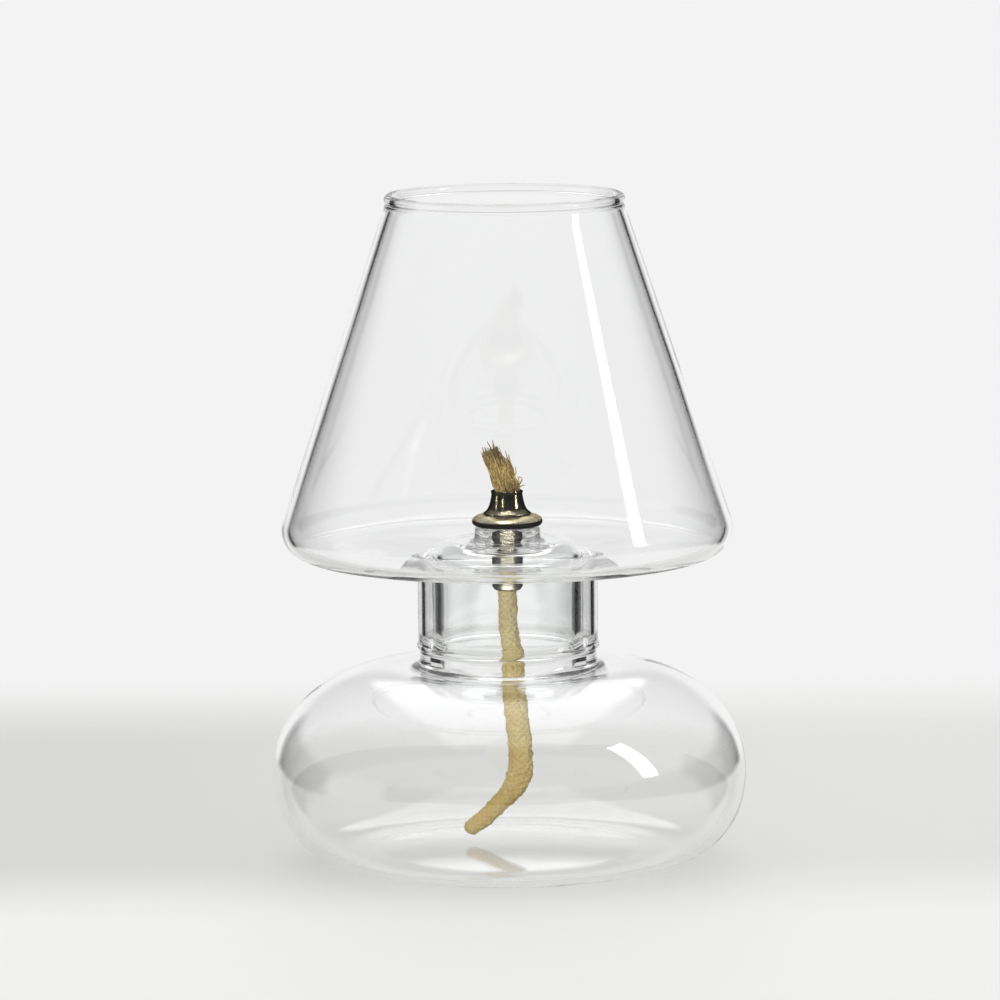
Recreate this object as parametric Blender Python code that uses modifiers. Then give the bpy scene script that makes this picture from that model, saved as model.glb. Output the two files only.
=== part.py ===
"""Clear glass oil lamp with a lift-off glass shade.

The reservoir is one blown piece: a squashed bulb on a flat foot ring, a ledge, a narrower neck and a domed
top with a small lipped hole. The shade is a cone whose collar slips over the neck and stands on the ledge.
A metal burner hangs in the hole by its drip plate, and a cotton wick runs through the burner's tube.

Metres, +Z up. The origin is the middle of the foot ring, on the surface that the lamp stands on.
"""

import math

import bpy
from mathutils import Vector

MM = 0.001
GAP = 0.3 * MM

# Reservoir: bulb
BULB_RADIUS = 56.2 * MM
BULB_EQUATOR_Z = 21.2 * MM
BULB_CREST_Z = 46.5 * MM
BULB_CREST_RADIUS = 27.0 * MM
BASE_RADIUS = 36.0 * MM
BASE_FULLNESS = 2.2
FOOT_INNER_RADIUS = 31.0 * MM
KICK_HEIGHT = 1.7 * MM
GLASS_WALL = 1.6 * MM

# Reservoir: ledge, neck, dome and lip
LEDGE_RADIUS = 20.8 * MM
LEDGE_Z = 50.1 * MM
LEDGE_FILLET = 2.2 * MM
NECK_RADIUS = 17.9 * MM
NECK_WALL = 2.1 * MM
THROAT_RADIUS = 4.5 * MM
SHOULDER_RADIUS = 5.0 * MM
DOME_Z = 76.2 * MM
LIP_RADIUS = 7.8 * MM
LIP_TOP_Z = 79.3 * MM
LIP_ROUND = 0.6 * MM
LIP_FILLET = 1.2 * MM
HOLE_RADIUS = 4.6 * MM

# Shade
SHADE_WALL = 1.9 * MM
RIM_RADIUS = 27.2 * MM
RIM_Z = 157.2 * MM
RIM_BEAD = 1.2 * MM
CONE_TOP_RADIUS = 28.0 * MM
CONE_TOP_Z = 156.4 * MM
CONE_HALF_ANGLE = math.radians(18.4)
WAIST_Z = 155.5 * MM
CORNER_RADIUS = 6.4 * MM
FLOOR_Z = 70.4 * MM
FLOOR_RISE = 2.4 * MM
FLOOR_EDGE = 0.3 * MM
COLLAR_RADIUS = 21.3 * MM
COLLAR_WALL = 1.6 * MM
COLLAR_END_Z = LEDGE_Z + GAP
COLLAR_END_BEAD = 0.95 * MM

# Burner
TUBE_RADIUS = 3.6 * MM
TUBE_BORE = 2.6 * MM
TUBE_NECK_RADIUS = 3.0 * MM
TUBE_BOTTOM_Z = 64.7 * MM
TUBE_CRIMP = 0.9 * MM
TUBE_CRIMP_RADIUS = 3.0 * MM
SHOULDER_Z = 81.5 * MM
TUBE_TOP_Z = 87.7 * MM
HUB_BORE = TUBE_NECK_RADIUS + GAP
PLATE_BEAD = 1.0 * MM
PLATE_BEAD_RADIUS = 7.36 * MM
PLATE_BEAD_Z = LIP_TOP_Z + GAP + PLATE_BEAD
PLATE_SHEET = 0.6 * MM
PLATE_DIP = 0.2 * MM
PLATE_WEB_RADIUS = 5.66 * MM
HUB_Z = SHOULDER_Z + GAP
NOZZLE_FOOT_Z = HUB_Z + PLATE_SHEET + GAP
NOZZLE_FOOT_RADIUS = 5.7 * MM
NOZZLE_TOP_Z = 87.9 * MM
NOZZLE_TOP_RADIUS = 3.75 * MM
NOZZLE_FLARE = 2.6
NOZZLE_EDGE = 0.2 * MM

# Wick
WICK_RADIUS = 2.3 * MM
TAIL_POINTS = 24
# Route of the free tail, from the tube to the reservoir's floor: X, Y, Z, radius.
TAIL_ROUTE = [
    (0.0, 0.0, 64.4, 2.3),
    (0.0, 0.0, 60.0, 2.3),
    (0.0, 0.0, 55.5, 2.3),
    (0.55, 0.2, 52.0, 2.45),
    (1.0, 0.35, 48.5, 2.65),
    (1.2, 0.45, 44.5, 2.8),
    (1.35, 0.5, 40.0, 2.85),
    (1.85, 0.6, 35.0, 2.85),
    (2.35, 0.75, 30.0, 2.85),
    (2.7, 0.9, 25.0, 2.95),
    (2.6, 0.9, 20.9, 3.15),
    (1.5, 0.85, 17.4, 3.0),
    (-0.7, 0.75, 14.6, 2.5),
    (-3.1, 0.6, 12.1, 2.2),
    (-5.5, 0.45, 9.6, 2.15),
    (-8.0, 0.3, 7.5, 2.15),
    (-10.6, 0.2, 6.0, 2.05),
]
# Middle line and radius of the frayed top, from the nozzle's mouth upward: X, Z, radius.
TUFT_ROUTE = [
    (0.0, 87.2, 2.3),
    (-0.1, 88.6, 2.5),
    (-0.6, 90.6, 2.9),
    (-1.3, 93.0, 3.2),
    (-2.0, 95.4, 3.2),
    (-2.6, 97.8, 2.4),
]

GLASS_STEPS = 32
METAL_STEPS = 24


def clear_scene():
    for thing in list(bpy.data.objects):
        bpy.data.objects.remove(thing, do_unlink=True)


def new_collection(name):
    collection = bpy.data.collections.new(name)
    bpy.context.scene.collection.children.link(collection)
    return collection


def material(name, colour, roughness, metallic=0.0, transmission=0.0, ior=1.5):
    made = bpy.data.materials.new(name)
    made.use_nodes = True
    shader = made.node_tree.nodes["Principled BSDF"]
    shader.inputs["Base Color"].default_value = (*colour, 1.0)
    shader.inputs["Roughness"].default_value = roughness
    shader.inputs["Metallic"].default_value = metallic
    shader.inputs["Transmission Weight"].default_value = transmission
    shader.inputs["IOR"].default_value = ior
    return made


def arc(centre_r, centre_z, radius, start, end, segments):
    """Points of a round corner, with angles in degrees from +R towards +Z."""
    return oval(centre_r, centre_z, radius, radius, start, end, segments)


def oval(centre_r, centre_z, half_width, half_height, start, end, segments, fullness=2.0):
    """Points of an ellipse, or of a fuller curve where fullness is above 2."""
    points = []
    for i in range(segments + 1):
        angle = math.radians(start + (end - start) * i / segments)
        c = math.cos(angle)
        s = math.sin(angle)
        reach = (abs(c) ** fullness + abs(s) ** fullness) ** (-1 / fullness)
        points.append((centre_r + half_width * c * reach, centre_z + half_height * s * reach))
    return points


def kick(floor_z, segments=3):
    """Points of the domed middle of the base, from the foot ring's inner edge to the axis."""
    points = []
    for i in range(segments + 1):
        share = 1 - i / segments
        points.append((FOOT_INNER_RADIUS * share, floor_z + KICK_HEIGHT * (1 - share**2)))
    return points


def bulb_side(wall):
    """Points of the bulb, down from its crest to its base, set in by wall."""
    upper = oval(
        BULB_CREST_RADIUS,
        BULB_EQUATOR_Z,
        BULB_RADIUS - BULB_CREST_RADIUS - wall,
        BULB_CREST_Z - BULB_EQUATOR_Z - wall,
        90,
        0,
        8,
    )
    lower = oval(
        BASE_RADIUS,
        BULB_EQUATOR_Z,
        BULB_RADIUS - BASE_RADIUS - wall,
        BULB_EQUATOR_Z - wall,
        0,
        -90,
        7,
        BASE_FULLNESS,
    )
    return upper + lower[1:]


def reservoir_outline():
    """From the middle of the inner floor, up the inside, over the lip, and down the outside to the axis."""
    bore = NECK_RADIUS - NECK_WALL
    throat_z = BULB_CREST_Z - GLASS_WALL + THROAT_RADIUS
    inner_shoulder = SHOULDER_RADIUS - GLASS_WALL
    dome_under = DOME_Z - NECK_WALL
    inside = kick(GLASS_WALL)[::-1]
    inside += bulb_side(GLASS_WALL)[::-1]
    inside += arc(bore + THROAT_RADIUS, throat_z, THROAT_RADIUS, 270, 180, 4)
    inside += arc(bore - inner_shoulder, dome_under - inner_shoulder, inner_shoulder, 0, 90, 3)
    inside += [(HOLE_RADIUS + LIP_ROUND, dome_under), (HOLE_RADIUS, dome_under + LIP_ROUND)]
    lip = arc(HOLE_RADIUS + LIP_ROUND, LIP_TOP_Z - LIP_ROUND, LIP_ROUND, 180, 90, 2)
    lip += arc(LIP_RADIUS - LIP_ROUND, LIP_TOP_Z - LIP_ROUND, LIP_ROUND, 90, 0, 2)
    lip += arc(LIP_RADIUS + LIP_FILLET, DOME_Z + LIP_ROUND + LIP_FILLET, LIP_FILLET, 180, 270, 2)
    outside = arc(NECK_RADIUS - SHOULDER_RADIUS, DOME_Z - SHOULDER_RADIUS, SHOULDER_RADIUS, 90, 0, 4)
    outside += arc(NECK_RADIUS + LIP_ROUND, LEDGE_Z + LIP_ROUND, LIP_ROUND, 180, 270, 2)
    outside += arc(LEDGE_RADIUS - LIP_ROUND, LEDGE_Z - LIP_ROUND, LIP_ROUND, 90, 0, 2)
    outside += arc(LEDGE_RADIUS + LEDGE_FILLET, BULB_CREST_Z + LEDGE_FILLET, LEDGE_FILLET, 180, 270, 3)
    outside += bulb_side(0.0)
    outside += kick(0.0)
    return inside + lip + outside


def cone_radius(z):
    """Outer radius of the shade's cone at a height."""
    return CONE_TOP_RADIUS + (CONE_TOP_Z - z) * math.tan(CONE_HALF_ANGLE)


def shade_outline():
    """A closed outline: over the rim, down the outside to the collar's end, and up the inside."""
    slope = math.degrees(CONE_HALF_ANGLE)
    corner_z = FLOOR_Z + FLOOR_RISE + CORNER_RADIUS
    corner_r = cone_radius(corner_z) - CORNER_RADIUS / math.cos(CONE_HALF_ANGLE)
    rim = arc(RIM_RADIUS, RIM_Z, RIM_BEAD, 215, -40, 8)
    outside = [(cone_radius(WAIST_Z), WAIST_Z)]
    outside += arc(corner_r, corner_z, CORNER_RADIUS, slope, -85, 7)
    outside += arc(COLLAR_RADIUS + SHADE_WALL, FLOOR_Z - SHADE_WALL, SHADE_WALL, 90, 180, 2)
    bore = COLLAR_RADIUS - COLLAR_WALL
    outside += arc(bore + COLLAR_END_BEAD, COLLAR_END_Z + COLLAR_END_BEAD, COLLAR_END_BEAD, 50, -180, 6)
    inside = arc(bore + SHADE_WALL, FLOOR_Z + FLOOR_EDGE, SHADE_WALL, 180, 90, 3)
    inside += arc(corner_r, corner_z, CORNER_RADIUS - SHADE_WALL, -85, slope, 6)
    return rim + outside + inside


def wick_tube_outline():
    """A closed outline: a neck above a shoulder, a straight tube, and a crimped lower end."""
    return [
        (TUBE_BORE, TUBE_TOP_Z),
        (TUBE_NECK_RADIUS, TUBE_TOP_Z),
        (TUBE_NECK_RADIUS, SHOULDER_Z),
        (TUBE_RADIUS, SHOULDER_Z),
        (TUBE_RADIUS, TUBE_BOTTOM_Z + TUBE_CRIMP),
        (TUBE_CRIMP_RADIUS, TUBE_BOTTOM_Z),
        (TUBE_BORE, TUBE_BOTTOM_Z),
    ]


def drip_plate_outline():
    """A closed outline: a pressed saucer with a hub hole and a rolled edge that rests on the glass lip."""
    bead = arc(PLATE_BEAD_RADIUS, PLATE_BEAD_Z, PLATE_BEAD, 110, -170, 9)
    web_z = HUB_Z - PLATE_DIP
    top = [(HUB_BORE, HUB_Z + PLATE_SHEET), (PLATE_WEB_RADIUS, web_z + PLATE_SHEET)]
    bend = (PLATE_BEAD_RADIUS - PLATE_BEAD, PLATE_BEAD_Z + PLATE_DIP)
    return top + bead + [bend, (PLATE_WEB_RADIUS, web_z), (HUB_BORE, HUB_Z)]


def nozzle_outline():
    """A closed outline: a pressed cone that narrows in a hollow curve from its foot to a rolled mouth."""
    segments = 6
    outer = []
    for i in range(segments + 1):
        share = i / segments
        r = NOZZLE_TOP_RADIUS + (NOZZLE_FOOT_RADIUS - NOZZLE_TOP_RADIUS) * share**NOZZLE_FLARE
        outer.append((r, NOZZLE_TOP_Z + (NOZZLE_FOOT_Z + NOZZLE_EDGE - NOZZLE_TOP_Z) * share))
    foot = [(NOZZLE_FOOT_RADIUS - NOZZLE_EDGE, NOZZLE_FOOT_Z), (HUB_BORE, NOZZLE_FOOT_Z)]
    return outer + foot + [(HUB_BORE, NOZZLE_TOP_Z)]


def turned(name, outline, steps, finish, collection, closed=True):
    """A turned piece: the outline in the XZ plane, spun round Z by a Screw modifier."""
    mesh = bpy.data.meshes.new(name)
    points = [(r, 0.0, z) for r, z in outline]
    edges = [(i, i + 1) for i in range(len(points) - 1)]
    if closed:
        edges.append((len(points) - 1, 0))
    mesh.from_pydata(points, edges, [])
    piece = bpy.data.objects.new(name, mesh)
    screw = piece.modifiers.new("spin", "SCREW")
    screw.axis = "Z"
    screw.angle = math.tau
    screw.steps = steps
    screw.render_steps = steps
    screw.use_merge_vertices = True
    screw.merge_threshold = 0.00001
    screw.use_smooth_shade = True
    mesh.materials.append(finish)
    collection.objects.link(piece)
    return piece


def smooth_route(points, count):
    """Evenly spaced points on a smooth curve through the given ones, each with its radius as a fourth number."""
    padded = [2 * points[0] - points[1], *points, 2 * points[-1] - points[-2]]
    fine = []
    for a, b, c, d in zip(padded, padded[1:], padded[2:], padded[3:]):
        for k in range(12):
            t = k / 12
            fine.append(
                0.5 * (2 * b + (c - a) * t + (2 * a - 5 * b + 4 * c - d) * t**2 + (3 * b - a - 3 * c + d) * t**3)
            )
    fine.append(points[-1])
    lengths = [0.0]
    for a, b in zip(fine, fine[1:]):
        lengths.append(lengths[-1] + (b - a).to_3d().length)
    even = []
    j = 0
    for i in range(count):
        want = lengths[-1] * i / (count - 1)
        while j < len(fine) - 2 and lengths[j + 1] < want:
            j += 1
        span = lengths[j + 1] - lengths[j]
        even.append(fine[j].lerp(fine[j + 1], (want - lengths[j]) / span))
    return even


def strand(name, points, finish, collection):
    """A round cord along points, each of which holds the cord's radius there as its fourth number."""
    curve = bpy.data.curves.new(name, "CURVE")
    curve.dimensions = "3D"
    curve.bevel_depth = WICK_RADIUS
    curve.bevel_resolution = 3
    curve.use_fill_caps = True
    spline = curve.splines.new("POLY")
    spline.points.add(len(points) - 1)
    for knot, place in zip(spline.points, points):
        knot.co = (*place.to_3d(), 1.0)
        knot.radius = place.w / WICK_RADIUS
    curve.materials.append(finish)
    piece = bpy.data.objects.new(name, curve)
    collection.objects.link(piece)
    return piece


def pivot(name, z, collection, parent=None):
    """An empty on the lamp's axis, which the pieces of one moving group hang from."""
    empty = bpy.data.objects.new(name, None)
    empty.empty_display_size = 10 * MM
    collection.objects.link(empty)
    empty.location = (0.0, 0.0, z)
    if parent is not None:
        hang(empty, parent)
    return empty


def hang(piece, parent):
    """Parents a piece and leaves it where it is."""
    bpy.context.view_layer.update()
    piece.parent = parent
    piece.matrix_parent_inverse = parent.matrix_world.inverted()


def build_wick(cotton, tail_cotton, collection):
    """The wick inside the tube with its frayed top, and its free tail below the tube."""
    points = [Vector((0.0, 0.0, z, WICK_RADIUS)) for z in (TUBE_BOTTOM_Z, SHOULDER_Z)]
    points += [Vector((x, 0.0, z, radius)) * MM for x, z, radius in TUFT_ROUTE]
    wick = strand("wick", points, cotton, collection)
    route = smooth_route([Vector(place) * MM for place in TAIL_ROUTE], TAIL_POINTS)
    tail = strand("wick_tail", route, tail_cotton, collection)
    return wick, tail


def main():
    clear_scene()
    lamp = new_collection("oil_lamp")
    clear_glass = material("clear_glass", (0.96, 0.98, 0.97), 0.0, transmission=1.0, ior=1.47)
    shade_glass = material("shade_glass", (0.97, 0.98, 0.98), 0.0, transmission=1.0, ior=1.47)
    nozzle_metal = material("nozzle_metal", (0.55, 0.5, 0.42), 0.2, metallic=1.0)
    plate_metal = material("plate_metal", (0.66, 0.6, 0.46), 0.25, metallic=1.0)
    tube_metal = material("tube_metal", (0.6, 0.56, 0.5), 0.25, metallic=1.0)
    wick_cotton = material("wick_cotton", (0.58, 0.47, 0.28), 0.95)
    tail_cotton = material("tail_cotton", (0.66, 0.6, 0.42), 0.95)

    turned("reservoir", reservoir_outline(), GLASS_STEPS, clear_glass, lamp, closed=False)

    shade_axis = pivot("shade_axis", COLLAR_END_Z, lamp)
    hang(turned("shade", shade_outline(), GLASS_STEPS, shade_glass, lamp), shade_axis)

    burner_axis = pivot("burner_axis", LIP_TOP_Z, lamp)
    hang(turned("wick_tube", wick_tube_outline(), METAL_STEPS, tube_metal, lamp), burner_axis)
    hang(turned("drip_plate", drip_plate_outline(), METAL_STEPS, plate_metal, lamp), burner_axis)
    hang(turned("nozzle", nozzle_outline(), METAL_STEPS, nozzle_metal, lamp), burner_axis)

    wick_axis = pivot("wick_axis", TUBE_BOTTOM_Z, lamp, burner_axis)
    wick, tail = build_wick(wick_cotton, tail_cotton, lamp)
    hang(wick, wick_axis)
    hang(tail, wick_axis)


main()
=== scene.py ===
"""Clear glass oil lamp with a lift-off glass shade: its looks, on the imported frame.

Every piece is built in metres where the CAD node it stands for is: finer turned glass and metal, a braided
cotton wick and its frayed top.
"""

import math
import random

import bpy
from mathutils import Euler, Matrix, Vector, noise


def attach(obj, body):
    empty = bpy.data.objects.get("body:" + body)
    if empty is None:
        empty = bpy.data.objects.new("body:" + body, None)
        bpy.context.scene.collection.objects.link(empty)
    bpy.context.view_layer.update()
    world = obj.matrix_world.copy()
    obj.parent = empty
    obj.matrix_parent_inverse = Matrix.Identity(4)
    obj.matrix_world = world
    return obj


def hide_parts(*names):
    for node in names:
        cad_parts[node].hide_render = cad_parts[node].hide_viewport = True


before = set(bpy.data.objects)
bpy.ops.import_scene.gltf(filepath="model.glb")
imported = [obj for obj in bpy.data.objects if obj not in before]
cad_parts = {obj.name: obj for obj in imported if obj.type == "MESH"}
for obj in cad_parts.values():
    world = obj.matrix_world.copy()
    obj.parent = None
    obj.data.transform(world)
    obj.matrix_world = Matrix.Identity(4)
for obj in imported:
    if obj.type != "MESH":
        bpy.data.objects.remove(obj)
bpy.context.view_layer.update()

MM = 0.001
GAP = 0.3 * MM

# Camera
TARGET = Vector((0.0, 0.0, 85.0)) * MM
CAMERA_DISTANCE = 1593 * MM
CAMERA_PITCH = math.radians(7.92)
CAMERA_ROLL = math.radians(-0.5)
CAMERA_LENS = 242.7
CAMERA_SENSOR = 36.0
CAMERA_SHIFT = (-0.007, 0.0029)
CAMERA_NEAR = 50 * MM

# Reservoir: bulb
BULB_RADIUS = 56.2 * MM
BULB_EQUATOR_Z = 21.2 * MM
BULB_CREST_Z = 46.5 * MM
BULB_CREST_RADIUS = 27.0 * MM
BASE_RADIUS = 36.0 * MM
BASE_FULLNESS = 2.2
FOOT_INNER_RADIUS = 31.0 * MM
KICK_HEIGHT = 1.7 * MM
GLASS_WALL = 1.6 * MM

# Reservoir: ledge, neck, dome and lip
LEDGE_RADIUS = 20.8 * MM
LEDGE_Z = 50.1 * MM
LEDGE_FILLET = 2.2 * MM
NECK_RADIUS = 17.9 * MM
NECK_WALL = 2.1 * MM
THROAT_RADIUS = 4.5 * MM
SHOULDER_RADIUS = 5.0 * MM
DOME_Z = 76.2 * MM
LIP_RADIUS = 7.8 * MM
LIP_TOP_Z = 79.3 * MM
LIP_ROUND = 0.6 * MM
LIP_FILLET = 1.2 * MM
HOLE_RADIUS = 4.6 * MM

# Shade
SHADE_WALL = 1.9 * MM
RIM_RADIUS = 27.2 * MM
RIM_Z = 157.2 * MM
RIM_BEAD = 1.2 * MM
CONE_TOP_RADIUS = 28.0 * MM
CONE_TOP_Z = 156.4 * MM
CONE_HALF_ANGLE = math.radians(18.4)
WAIST_Z = 155.5 * MM
CORNER_RADIUS = 6.4 * MM
SHADE_FLOOR_Z = 70.4 * MM
SHADE_FLOOR_RISE = 2.4 * MM
SHADE_FLOOR_EDGE = 0.3 * MM
COLLAR_RADIUS = 21.3 * MM
COLLAR_WALL = 1.6 * MM
COLLAR_END_Z = LEDGE_Z + GAP
COLLAR_END_BEAD = 0.95 * MM

# Burner: tube
TUBE_RADIUS = 3.6 * MM
TUBE_BORE = 2.6 * MM
TUBE_NECK_RADIUS = 3.0 * MM
TUBE_BOTTOM_Z = 64.7 * MM
TUBE_CRIMP = 0.9 * MM
TUBE_CRIMP_RADIUS = 3.0 * MM
TUBE_SHOULDER_Z = 81.5 * MM
TUBE_TOP_Z = 87.7 * MM

# Burner: plate
HUB_BORE = TUBE_NECK_RADIUS + GAP
HUB_Z = TUBE_SHOULDER_Z + GAP
PLATE_BEAD = 1.0 * MM
PLATE_BEAD_RADIUS = 7.36 * MM
PLATE_BEAD_Z = LIP_TOP_Z + GAP + PLATE_BEAD
PLATE_SHEET = 0.6 * MM
PLATE_DIP = 0.2 * MM
PLATE_FULLNESS = 2.3
PLATE_WEB_RADIUS = 5.66 * MM

# Burner: nozzle, which widens slowly at first and flares near its foot
NOZZLE_FOOT_Z = HUB_Z + PLATE_SHEET + GAP
NOZZLE_FOOT_RADIUS = 5.7 * MM
NOZZLE_TOP_Z = 87.9 * MM
NOZZLE_TOP_RADIUS = 3.6 * MM
NOZZLE_TAPER_SHARE = 0.55
NOZZLE_TAPER_POWER = 1.5
NOZZLE_FLARE_SHARE = 0.45
NOZZLE_FLARE_POWER = 8
NOZZLE_EDGE = 0.08 * MM
NOZZLE_SEAT = 0.22 * MM
NOZZLE_ROLL = 0.25 * MM

# Turned meshes
GLASS_STEPS = 224
METAL_STEPS = 128
LONGEST_RUN = 2.5 * MM
SAME_POINT = 0.002 * MM
ON_AXIS = 1e-7

# Waves that blowing leaves in the glass, which die out towards the foot
GLASS_WAVES = 0.02 * MM
WAVE_LONG = 18 * MM
WAVE_SHORT = 6 * MM
WAVE_SHORT_SHARE = 0.2
WAVE_FULL_Z = 4 * MM

# Wick
WICK_RADIUS = 2.3 * MM
WICK_TOP_Z = 88.6 * MM
WICK_RINGS = 120
TAIL_POINTS = 340
TAIL_BLUNT_END = 2.2 * MM
ROUTE_CUTS = 12
# Route of the free tail, from the tube to the reservoir's floor: X, Y, Z, radius in millimetres
TAIL_ROUTE = [
    (0.0, 0.0, 64.4, 2.3),
    (0.0, 0.0, 60.0, 2.3),
    (0.0, 0.0, 55.5, 2.3),
    (0.55, 0.2, 52.0, 2.45),
    (1.0, 0.35, 48.5, 2.65),
    (1.2, 0.45, 44.5, 2.8),
    (1.35, 0.5, 40.0, 2.85),
    (1.85, 0.6, 35.0, 2.85),
    (2.35, 0.75, 30.0, 2.85),
    (2.7, 0.9, 25.0, 2.95),
    (2.6, 0.9, 20.9, 3.15),
    (1.5, 0.85, 17.4, 3.0),
    (-0.7, 0.75, 14.6, 2.5),
    (-3.1, 0.6, 12.1, 2.2),
    (-5.5, 0.45, 9.6, 2.15),
    (-8.0, 0.3, 7.5, 2.15),
    (-10.6, 0.2, 6.0, 2.05),
]

# Braid of the wick: its yarns, and the lumps along it as pairs of height and frequency
BRAID_YARNS = 16
BRAID_PITCH = 12.0 * MM
BRAID_RELIEF = 0.16
BRAID_STEPS = 72
YARN_ROUNDNESS = 0.7
YARN_UNDER = 0.45
YARN_RISE = 0.55
LUMP_LENGTH = 3.0 * MM
LUMPS = ((0.1, 1.3), (0.14, 3.2))
SMALLEST_END = 0.02

# Frayed top of the wick, in millimetres: its strands, its outline and the locks that it parts into
TUFT_SEED = 7
TUFT_STRANDS = 430
TUFT_KNOTS = 10
TUFT_FOOT = 86.5
TUFT_TOP = 96.8
TUFT_CROWN = 1.4
TUFT_CROWN_AT = 0.2
TUFT_RIGHT_FALL = 1.9
TUFT_DEPTH_FALL = 0.5
TUFT_LEAN = -2.8
TUFT_LEAN_FROM = 0.12
TUFT_LEAN_POWER = 1.3
TUFT_RADIUS = 2.1
TUFT_SWELL = 0.8
TUFT_SWELL_BY = 0.22
TUFT_OPEN = 1.4
TUFT_CLOSE = 1.2
TUFT_LOCKS = 9
OUTER_LOCKS_FROM = 0.66
LOCK_SPREAD = (0.8, 0.4, 0.3)
TIP_SPREAD = 0.5
BEND_SPREAD = 0.4
KINKS_ALONG = 6
KINKS_ACROSS = 3
FUZZ = 0.05
FRAY = (0.85, 1.2)
STRAND_RADIUS = 0.16 * MM
STRAND_THICKNESS = (0.8, 1.3)
STRAND_THINNING = 0.6
STRAY_THICKNESS = 1.1
# Loose ends that stand clear of the tuft, in millimetres
TUFT_STRAYS = [
    [(-0.9, -0.8, 90.0), (-2.0, -1.2, 94.0), (-3.1, -1.4, 96.5), (-3.7, -1.5, 98.2), (-4.5, -1.5, 99.7)],
    [(-0.6, -0.9, 90.0), (-1.7, -1.3, 94.0), (-2.6, -1.5, 97.0), (-3.1, -1.6, 98.6), (-3.2, -1.6, 100.1)],
    [(-0.2, -0.6, 90.0), (-1.0, -1.0, 94.0), (-1.7, -1.1, 96.4), (-2.2, -1.2, 98.4)],
    [(0.6, -1.0, 90.0), (0.3, -1.4, 93.0), (0.2, -1.6, 95.2), (0.6, -1.7, 96.3)],
    [(1.6, -1.0, 89.0), (1.7, -1.5, 91.0), (2.2, -1.7, 92.4), (2.0, -1.8, 93.8)],
    [
        (2.2, -1.2, 88.0),
        (2.8, -1.8, 89.4),
        (3.5, -1.9, 90.3),
        (3.6, -1.9, 91.0),
        (3.0, -1.9, 91.3),
        (2.6, -1.9, 90.8),
    ],
    [(2.3, -1.3, 88.0), (3.0, -1.9, 88.9), (3.7, -2.0, 89.3), (4.2, -2.0, 89.2)],
    [(1.9, -1.6, 88.0), (2.4, -2.2, 89.6), (2.9, -2.4, 90.4), (2.6, -2.4, 91.6)],
    [(-2.4, -0.8, 89.0), (-3.6, -1.0, 91.6), (-4.8, -1.0, 94.0), (-5.5, -1.0, 95.4)],
    [(-2.2, -1.4, 89.0), (-3.2, -1.8, 91.6), (-4.4, -1.9, 94.0), (-4.7, -2.0, 96.0)],
]

# Glass
GLASS_IOR = 1.47
SHADE_IOR = 1.4

# Floor: its extent, its tones, where they change and fade out, in metres, and how fast it widens to the front
FLOOR_NEAR = -0.75
FLOOR_FAR = 0.3
FLOOR_SIDE = 0.6
FLOOR_DROP = 0.2 * MM
FLOOR_GLOW = 0.86
FLOOR_ALBEDO = 0.17
# The floor's tones are painted light: bright in front, with painted shade behind the lamp, darker at its
# left.
FLOOR_FRONT_PAINTED_LIGHT = (0.825, 0.825, 0.82)
FLOOR_LEFT_PAINTED_SHADE = (0.665, 0.665, 0.652)
FLOOR_RIGHT_PAINTED_SHADE = (0.73, 0.73, 0.717)
FLOOR_SPECK_TONE = (0.7, 0.7, 0.7)
FLOOR_PAINTED_SHADE_DEPTH = (-0.078, 0.005)
FLOOR_PAINTED_SHADE_ACROSS = (-0.13, 0.1)
FLOOR_FAR_FADE = (0.155, 0.27)
FLOOR_NEAR_FADE = (-0.7, -0.4)
FLOOR_SIDE_FADE = (0.15, 0.22)
FLOOR_SPREAD = 0.45

# Room: levels of light and the soft edges between them. Those of the backdrop and the left panel are angles
# from straight back, in degrees. Those of the panel's side and front are parts of its rise. The others are
# parts of a unit direction.
BACKDROP_LEVEL = 0.88
BACKDROP_EDGE = (22.5, 29.0)
LEFT_PANEL_LEVEL = 0.82
LEFT_PANEL_BACK_EDGE = (-84.0, -76.0)
LEFT_PANEL_FRONT_EDGE = (-120.0, -112.0)
FRONT_LEVEL = 0.02
FRONT_EDGE = (-0.9, -0.2)
UPPER_FRONT = 0.5
UPPER_BACK = 0.65
UPPER_DEPTH = (-0.5, 0.5)
UPPER_EDGE = (0.15, 0.3)
PANEL_LEVEL = 1.0
PANEL_SIDE_EDGE = (0.36, 0.48)
PANEL_FRONT_EDGE = (-0.5, -0.3)
PANEL_LOW_EDGE = (0.3, 0.45)
GROUND_LEVEL = 0.8
GROUND_EDGE = (-0.27, -0.19)
GROUND_TILT = 0.1
SMALLEST_RISE = 0.001

# Lamps, each with azimuth from the camera's side towards +X and elevation in degrees, distance, width and
# height in metres, and power in watts
LAMP_AIM = Vector((0.0, 0.0, 0.06))
KEY_SHADE = (72.5, 31, 2.0, 0.26, 1.3, 6.2)
KEY_RESERVOIR = (73.3, 31, 2.0, 0.34, 1.3, 10.0)
INNER_LAMPS = (
    ("fill", "cotton", (-15, 24, 1.0, 0.8, 0.8, 4.8)),
    ("nozzle_right", "nozzle", (68, 13, 1.0, 0.16, 0.7, 75.0)),
    ("nozzle_left", "nozzle", (-80, 15, 1.0, 0.1, 0.7, 22.0)),
    ("nozzle_front", "nozzle", (-32, 22, 1.0, 0.1, 0.7, 15.0)),
    ("nozzle_top", "nozzle", (0, 84, 1.0, 0.7, 1.2, 40.0)),
    ("plate_top", "plate", (-15, 62, 1.0, 0.5, 0.9, 5.0)),
    ("tube_front", "tube", (0, -3, 0.5, 1.3, 0.5, 14.0)),
    ("tube_under", "tube", (0, -68, 0.5, 0.7, 0.7, 30.0)),
)

# Look
EXPOSURE = 0.06
GAMMA = 0.8
ALL_BOUNCES = 40
GLASS_BOUNCES = 36
CLEAR_BOUNCES = 16
BRIGHTEST_INDIRECT = 40.0


def link(thing):
    """Put a new object in the scene."""
    bpy.context.scene.collection.objects.link(thing)
    return thing


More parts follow.
